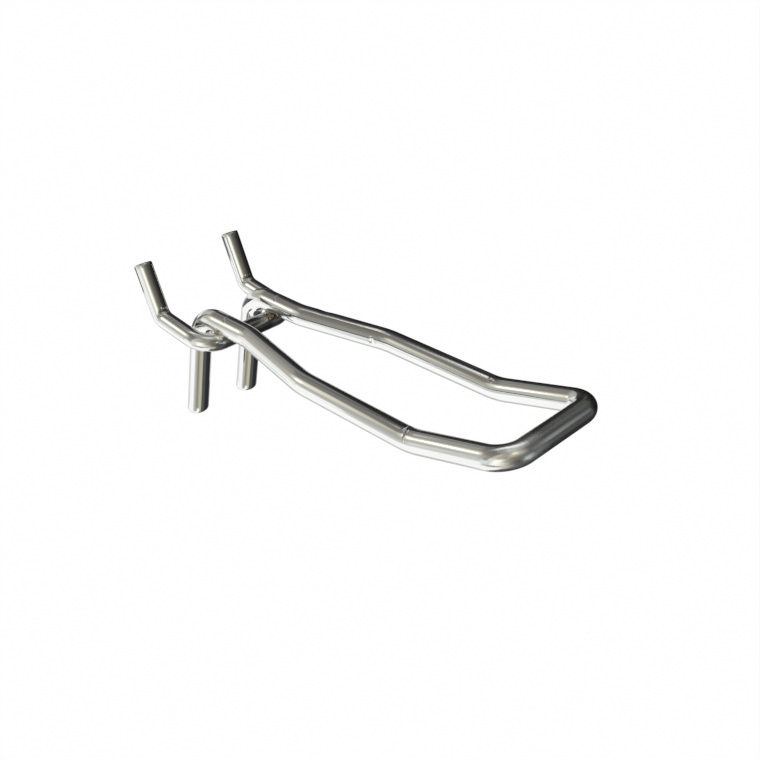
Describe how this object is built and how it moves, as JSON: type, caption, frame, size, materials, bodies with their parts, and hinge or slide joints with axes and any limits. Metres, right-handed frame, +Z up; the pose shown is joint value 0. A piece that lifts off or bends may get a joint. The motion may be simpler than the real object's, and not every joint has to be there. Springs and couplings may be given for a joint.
{
  "type": "pegboard loop hook",
  "caption": "Plated steel wire hook for a pegboard: bent pegs go through the board, legs lie flat on it, and a flared closed loop with a raised front holds what hangs.",
  "frame": {"origin": "midway between the pegs' axes, on the board's front face", "axes": "+Y along the pegs into the board, +Z up, the loop reaches out along -Y"},
  "size_m": [0.0322, 0.1057, 0.047],
  "materials": {
    "plated_wire": "bright plated steel wire"
  },
  "bodies": {
    "root": {"loop_wire": "plated_wire", "peg_wire": "plated_wire"}
  },
  "joints": []
}
